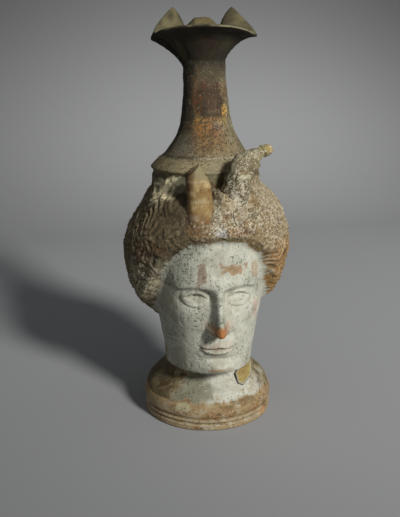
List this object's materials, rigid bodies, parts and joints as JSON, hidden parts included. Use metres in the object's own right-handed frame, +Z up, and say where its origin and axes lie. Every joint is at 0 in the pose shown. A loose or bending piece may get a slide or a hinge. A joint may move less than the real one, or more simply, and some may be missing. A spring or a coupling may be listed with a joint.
{
  "type": "oinochoe",
  "caption": "Head-shaped clay jug: a horned head on a domed foot, with a collar, a flared neck, a trefoil pouring mouth and a strap handle behind.",
  "frame": {"origin": "centre of the flat underside of the foot", "axes": "+Z up along the vessel, -Y is the way the face looks, +X is the viewer's right when looking at the face"},
  "size_m": [0.0933, 0.1018, 0.2287],
  "materials": {
    "fired_clay": "matte"
  },
  "bodies": {
    "root": {"oinochoe": "fired_clay"}
  },
  "joints": []
}
